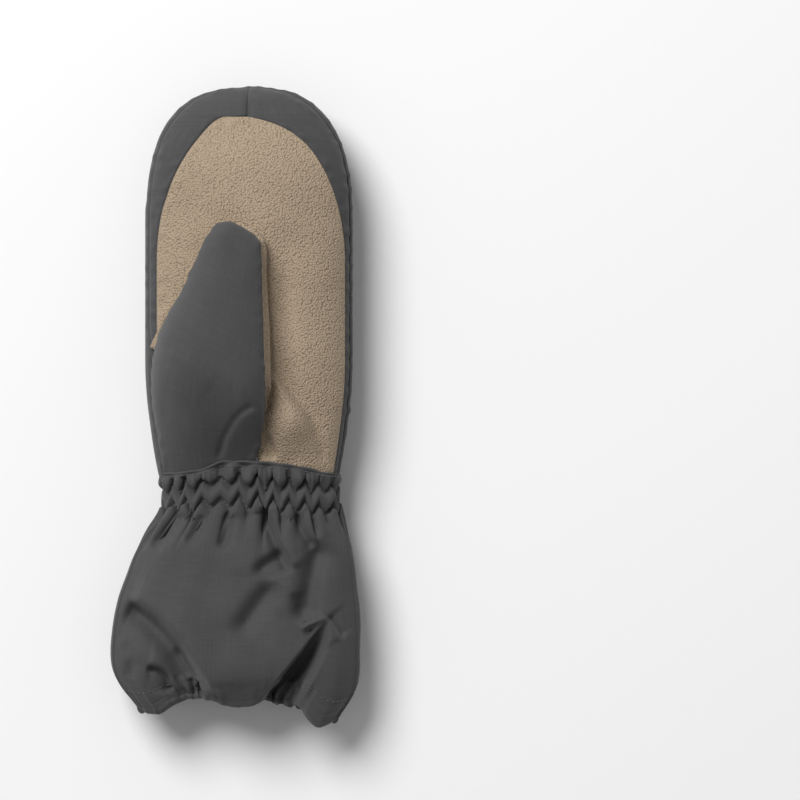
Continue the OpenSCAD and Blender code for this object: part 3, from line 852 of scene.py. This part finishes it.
# %% [markdown]
# ### The gathers' rhythm
# The two zigzag rows run side by side. Over the palm their teeth stand at set, slightly uneven places,
# round the back they are even. The tube's own rows bend with the zigzag, so the creases stay sharp.

# %% Gathers
tooth_x = [-24.8, -19.7, -12.9, -5.7, 1.8, 9.6, 15.8, 22.1, 28.5, 34.2]
reference = cuff_section(-36.0)
steps_round = np.linalg.norm(np.roll(reference, -1, axis=0) - reference, axis=1)
arc = np.concatenate([[0], np.cumsum(steps_round)[:-1]])
girth = steps_round.sum()
on_palm = (s > 0) & (np.abs(c) < 0.97)
tooth_arc = sorted(np.interp(tooth_x, reference[on_palm, 0][::-1], arc[on_palm][::-1]))
rest_of_way = girth - tooth_arc[-1] + tooth_arc[0]
more = int(round(rest_of_way / 6.8))
teeth = len(tooth_arc) + more - 1
knots = list(tooth_arc) + [tooth_arc[-1] + rest_of_way * k / more for k in range(1, more + 1)]
phase = 2 * math.pi * np.interp(arc, [k - girth for k in knots[:-1]] + knots,
                                np.arange(-teeth, teeth + 1))
tooth = np.arcsin(0.93 * np.cos(phase)) / math.asin(0.93)
liveliness = 1 + 0.26 * np.sin(5 * theta + 1.3) + 0.24 * np.sin(9 * theta + 0.4)
row_sag = [(-34, -3), (-20, -1.6), (-13, -0.5), (-6, 0.4), (2, 0.8), (10, 0.6), (16, -0.6), (28, -1.2),
           (34, -2.4), (44, -3)]
sag = np.where(s > 0, profile(reference[:, 0], row_sag), -1.5)
upper_row, lower_row = -30.6, -38.9
zigzag_shift = sag + 2.4 * tooth * liveliness
print("teeth round the wrist:", teeth)


# %% The tube before folding
tube = cuff_section(rows_down[:, None])
back_hem = [(-42, -122.4), (-34, -123.5), (-27, -120.5), (-19, -117.8), (-10, -117.5), (2, -118.5),
            (10, -118.5), (16, -121.3), (22, -122.4), (27, -123.4), (33, -126.6), (38, -127.5), (42, -126)]
hem_line = np.where(s > 0, profile(tube[-1, :, 0], palm_hem), profile(tube[-1, :, 0], back_hem))
hem_line = mix(-124.5 - 2 * c, hem_line, rise(np.abs(s), 0.0, 0.35))
low = np.clip((rows_down - stretch_from) / (nominal_hem - stretch_from), 0, 1)[:, None]
tube[..., 1] += (hem_line[None, :] + roll - nominal_hem) * low**1.5
near_seam = (1 - rise(-rows_down, -seam_y, 30))[:, None]
near_elastic = (rise(-rows_down, 25.5, 30) * (1 - rise(-rows_down, 39.5, 64)))[:, None]
tube[..., 1] += (wrist_line(tube[..., 0], tube[..., 2]) - seam_y) * near_seam
tube[..., 1] += zigzag_shift * near_elastic
inward = -np.stack([c * 0.6, 0 * c, s], axis=-1)
rolled = tube[-1] + roll * (1 - np.cos(curl))[:, None, None] * inward
rolled[..., 1] -= roll * np.sin(curl)[:, None]
straight = rolled[-1] + np.linspace(0.6, inside, 10)[:, None, None] * np.array([0, 1.0, 0])
tube = np.concatenate([tube, rolled[1:], straight])
print("cuff tube:", tube.shape, "girth at the wrist:", round(girth))

# %% [markdown]
# ### Folds of the cuff
# Two edges matter most. On the left a long crease runs from the cuff's side down to the hem, and the
# cloth between it and the other edge hangs over the hem like a bib. On the right the bib's edge is
# sharp, and behind it the cloth falls into a deep pocket. Softer folds fan out from the gathers.

# %% Cuff relief
bib_edge = [(38.6, -85), (34, -90.5), (27.8, -97.8), (20.7, -106.8), (15.8, -113), (12.3, -117.5),
            (9.5, -124)]
pocket_edge = [(38.9, -85), (38.9, -90), (37.6, -96.6), (33, -106.3), (28.6, -115.3), (26.5, -124)]
cuff_folds = [  # path, width, height, step, reach, fade
    ([(-45.5, -78), (-39, -81.5), (-29.4, -89), (-21.6, -98), (-13.9, -110), (-11, -119)],
     1.9, -1.7, 3.0, 13, 0.1),
    ([(-44, -80.5), (-38, -85.5), (-31.5, -92), (-24.5, -101), (-17.5, -113)],
     3.6, -1.8, 0.0, 9, 0.15),
    ([(24.6, -74), (26.2, -81), (27.8, -87.5)], 2.2, -1.2, 0.0, 9, 0.25),
    ([(26.5, -90.8), (31.5, -87.6), (38.4, -84.6)], 1.5, 1.7, 0.5, 6, 0.2),
    ([(37.5, -84), (41, -88.5), (44.5, -94)], 1.2, -1.5, -0.9, 7, 0.2),
    ([(34.5, -53), (31, -64.5), (29.2, -76), (26.9, -88)], 4.4, -3.4, -1.1, 12, 0.2),
    ([(21, -57), (16, -61.5), (10.8, -65), (9.6, -70)], 2.6, -1.9, -0.8, 9, 0.25),
    ([(18.5, -68.5), (11.5, -77), (5, -86), (-0.5, -95)], 4.2, -2.6, -0.9, 12, 0.28),
    ([(-25, -96.5), (-19.5, -103.5), (-14.6, -110.5), (-12, -117)], 1.4, -1.5, 0.7, 6, 0.2),
    ([(11.6, -39.5), (14, -48), (17.5, -57), (22.5, -67)], 2.0, -2.6, 1.3, 8, 0.1),
    ([(25.5, -42), (27.5, -50), (32.5, -57.5)], 2.0, -2.0, 0.6, 8, 0.2),
    ([(-1.5, -42), (-2.6, -49), (-5.5, -58)], 2.0, -1.9, 0.0, 8, 0.2),
    ([(-20.5, -42), (-26, -49), (-34.5, -58)], 2.6, -1.8, 0.6, 9, 0.2),
    ([(-13, -42.5), (-15.5, -50), (-20, -56)], 2.2, -1.0, 0.0, 8, 0.2),
    ([(-36.5, -105.5), (-31, -107), (-27.6, -110.5), (-26.6, -116.5)], 1.5, -2.2, 0.9, 7, 0.18),
    ([(-27.5, -113), (-23.5, -116), (-21, -121)], 1.4, -1.5, -0.5, 6, 0.2),
    ([(-18.2, -109.5), (-17, -114.5), (-17.6, -121)], 1.1, -1.7, 0.5, 5, 0.15),
    ([(-14.6, -110.5), (-13.8, -115.5), (-14.2, -121)], 1.0, -1.6, 0.4, 5, 0.15),
    ([(-49, -86), (-44, -96), (-42, -106)], 4.0, 0.8, 0.0, 9, 0.25),
    ([(-46, -94), (-42.5, -103), (-43.5, -112)], 2.4, -0.9, 0.0, 9, 0.25),
]
cuff_mounds = [  # height, place, and how far it spreads
    (1.6, -34, -101, 10, 9), (2.2, 2, -108, 17, 12), (1.4, 42, -108, 7, 14), (-1.2, -26, -112, 8, 6),
]
fold_strength = 1.6


def pocket_relief(x, y):
    """The deep pocket between the bib's sharp edge and the right lobe, with pleats at its bottom."""
    down = smooth_path(bib_edge)[::-1]
    over = smooth_path(pocket_edge)[::-1]
    first, last = np.interp(y, down[:, 1], down[:, 0]), np.interp(y, over[:, 1], over[:, 0])
    share = (x - first) / np.maximum(last - first, 0.4)
    wall = rise(share, -0.02, 0.1) * (1 - rise(share, 0.35, 1.15))
    pleats = 1.3 * np.cos(2 * math.pi * share * 3.2) * rise(-y, 106, 112)
    return (pleats - 17.0) * wall * rise(-y, 85.2, 108)


# %% Puckers
def pinch(angle, sharp=0.75):
    """A rounded ridge at 0 and a sharp valley at half a turn, between 1 and -1."""
    return 2 * np.abs(np.cos(angle / 2)) ** sharp - 1


def gathers(y):
    """How far the gathered cloth stands out or in, for each nominal row and each column of the tube."""
    lean = 0.62
    up, down = (y - upper_row) * lean, (y - lower_row) * lean
    sewn = bell(up, 0.7) + bell(down, 0.7)
    ribbon = bell((y - (upper_row + lower_row) / 2) / 3.4, 1)
    above = rise(up, 0.2, 1.8) * (1 - rise(y, -27.5, seam_y - 0.8))
    reach = 4 + 8 * np.sin(phase * 0.29 + 1.0) ** 2
    below = rise(-down, 0.1, 1.6) * bell(np.maximum(lower_row - y, 0) / reach, 1)
    loose = 1.15 * pinch(phase + math.pi + 0.7 * np.sin(2.3 * phase)) * liveliness * above
    amount = 1.6 * ribbon - 1.9 * sewn + loose
    amount = amount + 1.7 * pinch(phase) * below * liveliness - 0.5 * below
    return amount + 0.4 * rise(y, -28, seam_y) * np.sin(phase * 0.5 + 0.6)


bottom_x = tube[len(rows_down) - 1, :, 0]
bib = bell((bottom_x - 3) / 11, 1) * (s > 0)


def hem_pleats(y, line):
    wide, tight_to_edge = rise(-y, -line - 14, -line - 5), rise(-y, -line - 2.5, -line + 0.5)
    near_hem = mix(wide, tight_to_edge, bib)
    tight = 0.35 + 1.3 * bell((bottom_x + 15.5) / 4.2, 1) + 1.2 * bell((bottom_x - 21) / 5, 1) + 0.3 * bib
    tight = tight * (1 - 0.85 * rise(bottom_x, 27, 31))
    waves = np.cos(1.55 * phase + 0.8 * np.sin(2 * theta)) + 0.5 * np.cos(2.7 * phase + 1.0)
    return 0.75 * near_hem * np.where(s > 0, tight, 0.7) * waves


# %% Fold the tube
# Where the cloth rolls in at the hem, its narrow folds even out over `hem_slack` columns.
hem_slack = around // 80
easing_rows = 5
top_side = rise(s, 0.2, 0.7)[None, :]
plan_x, plan_y = tube[..., 0], tube[..., 1]
plan_relief = relief(plan_x, plan_y, cuff_folds, cuff_mounds, fold_strength) + pocket_relief(plan_x, plan_y)
turned_in = np.clip((np.arange(len(tube)) - len(rows_down) + 1) / easing_rows, 0, 1)[:, None]
hem_relief = plan_relief[len(rows_down) - 1]
beside = range(-hem_slack, hem_slack + 1)
loose_relief = sum(np.roll(hem_relief, k) for k in beside) / len(beside)
plan_relief = mix(plan_relief, loose_relief[None, :], turned_in)
smooth_tube = tube.copy()
smooth_tube[..., 2] += plan_relief * top_side
normals = -np.nan_to_num(grid_normals(smooth_tube, closed=True))
nominal = np.concatenate([rows_down, np.full(len(tube) - len(rows_down), nominal_hem)])[:, None]
puckers = gathers(nominal) + hem_pleats(tube[..., 1], hem_line[None, :])
puckers = puckers + 0.3 * unevenness(tube[..., 0], tube[..., 1], 17, 4) * rise(-nominal, 44, 56)
casing_top = rise(nominal, -30, -28) * (1 - rise(nominal, seam_y - 1.5, seam_y))
puckers = puckers + 0.8 * unevenness(tube[..., 0], tube[..., 1] * 0.5, 6.0, 12) * casing_top
puckers = puckers * (1 - 0.8 * turned_in * top_side)
lying = np.clip((tube[..., 2] - 1.0) / 3.0, 0, 1)
lip = 0.5 * bell((rows_down[0] - rows_down) / 0.4, 1)
folded = smooth_tube + normals * (puckers * mix(0.35, 1.0, lying))[..., None]
folded[:len(rows_down)] += normals[:len(rows_down)] * lip[:, None, None]
degrees = np.degrees(theta)
side_seam = bell((degrees - 165) / 1.1, 1) + bell((degrees - 14) / 1.1, 1)
seam_rows = rise(-tube[..., 1], 44, 52) * (np.arange(len(tube)) < len(rows_down) + 6)[:, None]
folded += normals * (0.7 * side_seam[None, :] * seam_rows)[..., None]
folded[..., 2] = np.maximum(folded[..., 2], 0.0)
print("lowest point of the cuff:", round(float(folded[..., 2].min()), 2))

# %% Cut the tube into its pieces
casing_end = int(np.argmin(np.abs(rows_down - lower_row)))
hem_start = int(np.argmin(np.abs(rows_down - (nominal_hem + 3))))
half = around // 2
under_lap = 6
lap_end = casing_end + under_lap + 1
casing_grid = folded[:lap_end].copy()
casing_grid[casing_end:] -= normals[casing_end:lap_end] * np.linspace(0, 0.35, under_lap + 1)[:, None, None]
wrist_casing = panel("wrist_casing_cloth", casing_grid, shell_cloth, closed=True, flip=True)
palm_cuff = panel("cuff_palm_cloth", folded[casing_end:hem_start + 1, :half + 1], shell_cloth, flip=True)
wrapped = np.concatenate([folded[:, half:], folded[:, :1]], axis=1)
back_cuff = panel("cuff_back_cloth", wrapped[casing_end:hem_start + 1], shell_cloth, flip=True)
hem_casing = panel("hem_casing_cloth", folded[hem_start:], shell_cloth, closed=True, flip=True)


# %% Layers inside the cuff
def tube_layer(name, outer, inset, material, thickness=0.6):
    """A smooth layer that lies a little inside a ring-shaped grid."""
    grid = outer + np.nan_to_num(grid_normals(outer, closed=True)) * inset
    grid[..., 2] = np.maximum(grid[..., 2], inset)
    return panel(name, grid[:, ::2], material, thickness=thickness, closed=True, flip=True)


def plain_wrist(first, last):
    """The wrist's ring without gathers, between two nominal rows."""
    ring = cuff_section(np.arange(first, last, -0.7)[:, None])
    ring[..., 1] += sag
    return ring


hem_row = len(rows_down)
band_inset, fleece_inset, lining_inset = 3.8, 5.2, 3.6
band_ring = plain_wrist(upper_row + 0.9, lower_row - 0.9)
fleece_ring = plain_wrist(seam_y - 1, lower_row - 0.7)
lining_ring = smooth_tube[casing_end:hem_row - 4:2]
wrist_band = tube_layer("wrist_elastic_band", band_ring, band_inset, elastic_tape, 1.0)
wrist_fleece = tube_layer("wrist_fleece", fleece_ring, fleece_inset, fleece)
cuff_fabric = tube_layer("cuff_lining_cloth_layer", lining_ring, lining_inset, lining_cloth)

# %% [markdown]
# ## Thread
# Each stitch is a short, fat, round-ended length of thread that sits in its groove. All the stitches
# of a row are one mesh. A stitch has few faces, because there are hundreds of them.


# %% Stitches
stitch_lift = 0.15


def proud_of(row):
    """The points of one row of the folded tube, a little proud of it."""
    return folded[row] + normals[row] * stitch_lift


def stitches(name, ends, radius=0.26, sides=6):
    """One mesh of short threads from pairs of end points."""
    vertices, faces = [], []
    for a, b in ends:
        along = (b - a) / max(np.linalg.norm(b - a), 1e-6)
        one = np.cross(along, [0.03, 0.02, 1.0])
        one /= np.linalg.norm(one)
        two = np.cross(along, one)
        start = len(vertices)
        for share, size in ((-0.08, 0.35), (0.12, 0.9), (0.5, 1), (0.88, 0.9), (1.08, 0.35)):
            for k in range(sides):
                angle = 2 * math.pi * k / sides
                spoke = one * math.cos(angle) + two * math.sin(angle)
                vertices.append(a + (b - a) * share + radius * size * spoke)
        for ring in range(4):
            for k in range(sides):
                p, q = start + ring * sides + k, start + ring * sides + (k + 1) % sides
                faces.append((p, q, q + sides, p + sides))
        faces.append(tuple(start + k for k in reversed(range(sides))))
        faces.append(tuple(start + 4 * sides + k for k in range(sides)))
    print(name, "has", len(ends), "stitches")
    return add_object(name, cloth_mesh(name, np.array(vertices), faces, thread_twist))


def column_at(turns):
    """The tube's column at a phase counted in teeth."""
    return int(np.argmin(np.abs(phase / (2 * math.pi) - turns)))


def zigzag_stitches(y):
    ends, line = [], proud_of(int(np.argmin(np.abs(rows_down - y))))
    first, last = phase.min() / (2 * math.pi), phase.max() / (2 * math.pi)
    for start in np.arange(math.ceil(first * 2) / 2, last - 0.5, 0.5):
        for a, b in ((0.04, 0.26), (0.38, 0.6), (0.72, 0.94)):
            ends.append([line[column_at(start + 0.5 * share)] for share in (a, b)])
    return ends


zigzag = stitches("wrist_zigzag_thread", zigzag_stitches(upper_row) + zigzag_stitches(lower_row))



def running_stitches(row, every, wanted, span=4):
    """Pairs of ends along one row: a stitch spans a few columns, and starts after every few columns."""
    line = proud_of(row)
    return [[line[j], line[(j + span) % around]] for j in range(0, around, every) if wanted[j]]


everywhere = np.full(around, True)
outside_bib = (s < 0.2) | (np.abs(bottom_x - 3) > 21)
wrist_seam_row, casing_stitch_row = 4, hem_row - 17
wrist_thread = stitches("wrist_seam_thread", running_stitches(wrist_seam_row, 8, everywhere), radius=0.2)
hem_thread = stitches("hem_thread", running_stitches(casing_stitch_row, 7, outside_bib), radius=0.2)

# %% [markdown]
# ## Floor, light and air
# A plain pale floor takes the shadow. One wide soft lamp stands up and to the left, so folds that face
# down and to the right go dark. An even glow from all sides fills the rest.

# %% Floor and light
floor_mesh = bpy.data.meshes.new("floor")
floor_mesh.from_pydata([(-4, -4, 0), (4, -4, 0), (4, 4, 0), (-4, 4, 0)], [], [(0, 1, 2, 3)])
floor = add_object("floor", floor_mesh)
floor_material = bpy.data.materials.new("paper")
floor_material.use_nodes = True
paper = floor_material.node_tree.nodes["Principled BSDF"].inputs
paper["Base Color"].default_value = (0.93, 0.93, 0.93, 1)
paper["Roughness"].default_value = 0.9
floor.data.materials.append(floor_material)
floor.location.z = -0.0002
floor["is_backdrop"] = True

world = bpy.data.worlds.new("studio")
world.use_nodes = True
glow = world.node_tree.nodes["Background"].inputs
glow["Color"].default_value = (1, 1, 1, 1)
glow["Strength"].default_value = 0.30
bpy.context.scene.world = world
bpy.context.scene.view_settings.view_transform = "Standard"


def softbox(name, direction, distance, size, power):
    """A round soft lamp that shines on the mitten from a direction."""
    light = bpy.data.lights.new(name, "AREA")
    light.shape = "DISK"
    light.size = size
    light.energy = power
    lamp = add_object(name, light)
    lamp.location = Vector(direction).normalized() * distance + Vector((0.03, 0, 0))
    lamp.rotation_mode = "QUATERNION"
    lamp.rotation_quaternion = (-Vector(direction)).to_track_quat("-Z", "Y")


softbox("key", (-18, 25, 37), 3.0, 1.7, 88)

# %% [markdown]
# ## What each piece is made of and stands for
# Every piece is listed with a finish slot and the one or two plain CAD nodes that it takes the place of,
# and those nodes are hidden. The undersides of the thumb's padding and fleece share the nodes of their top halves.

# %% Slots and replaced nodes
dark_thumb, tan_thumb, top_padding, under_padding, top_fleece, under_fleece = thumb_pieces
roles = [  # piece, finish slot, and the CAD nodes that it stands for
    (patch, "palm_leather", "palm_patch"),
    (tan_thumb, "palm_leather", "thumb_palm_panel"),
    (finger_border, "shell_fabric", "finger_side_border"),
    (thumb_border, "shell_fabric", "thumb_side_border"),
    (back, "shell_fabric", "back_panel"),
    (dark_thumb, "shell_fabric", "thumb_base_panel", "thumb_back_panel"),
    (wrist_casing, "shell_fabric", "wrist_casing"),
    (palm_cuff, "shell_fabric", "cuff_palm_panel"),
    (back_cuff, "shell_fabric", "cuff_back_panel"),
    (hem_casing, "shell_fabric", "hem_casing", "hem_elastic"),
    (top_padding, "padding", "thumb_base_insulation", "thumb_insulation"),
    (under_padding, "padding"),
    (top_fleece, "fleece_lining", "thumb_base_lining", "thumb_lining"),
    (under_fleece, "fleece_lining"),
    (wrist_fleece, "fleece_lining", "wrist_lining"),
    (cuff_fabric, "cuff_lining_fabric", "cuff_lining"),
    (wrist_band, "elastic", "wrist_elastic"),
    (zigzag, "thread", "wrist_zigzag_stitches"),
    (wrist_thread, "thread", "wrist_seam_stitches"),
    (hem_thread, "thread", "hem_stitches"),
]
for piece, slot_name, *nodes in roles:
    if nodes:
        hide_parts(*nodes)
print("pieces made:", len(roles))

# %% [markdown]
# ## Flat cuts
# Before it was sewn, each panel was a flat piece of cloth or leather. `panel` prints each cut's mean
# width and length, measured along the finished panel's rows and columns, and lays this flat pattern out
# as the UV map. Nothing shows the real cuts, so these are worked back from the finished panels: they agree
# with the meshes because they were taken from them, and they don't prove that a real cut had this size.

# %% [markdown]
# ## What moves with what
# The hand's panels and the wrist seam's thread keep to the hand's body, and the hem and its thread to the
# gauntlet's. The thumb's pieces, the wrist's rings and the cuff only have their placement baked into
# their meshes, and nothing here bends them.

# %% Rides and baked placements
for piece in (patch, finger_border, thumb_border, back, wrist_thread):
    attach(piece, "hand")
for piece in (hem_casing, hem_thread):
    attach(piece, "gauntlet")
for piece in thumb_pieces:
    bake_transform(piece)
for piece in (wrist_casing, wrist_fleece, zigzag, wrist_band, palm_cuff, back_cuff, cuff_fabric):
    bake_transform(piece)

# %% Finish
low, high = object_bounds()
print("visual box:", [round(v, 4) for v in low], [round(v, 4) for v in high])
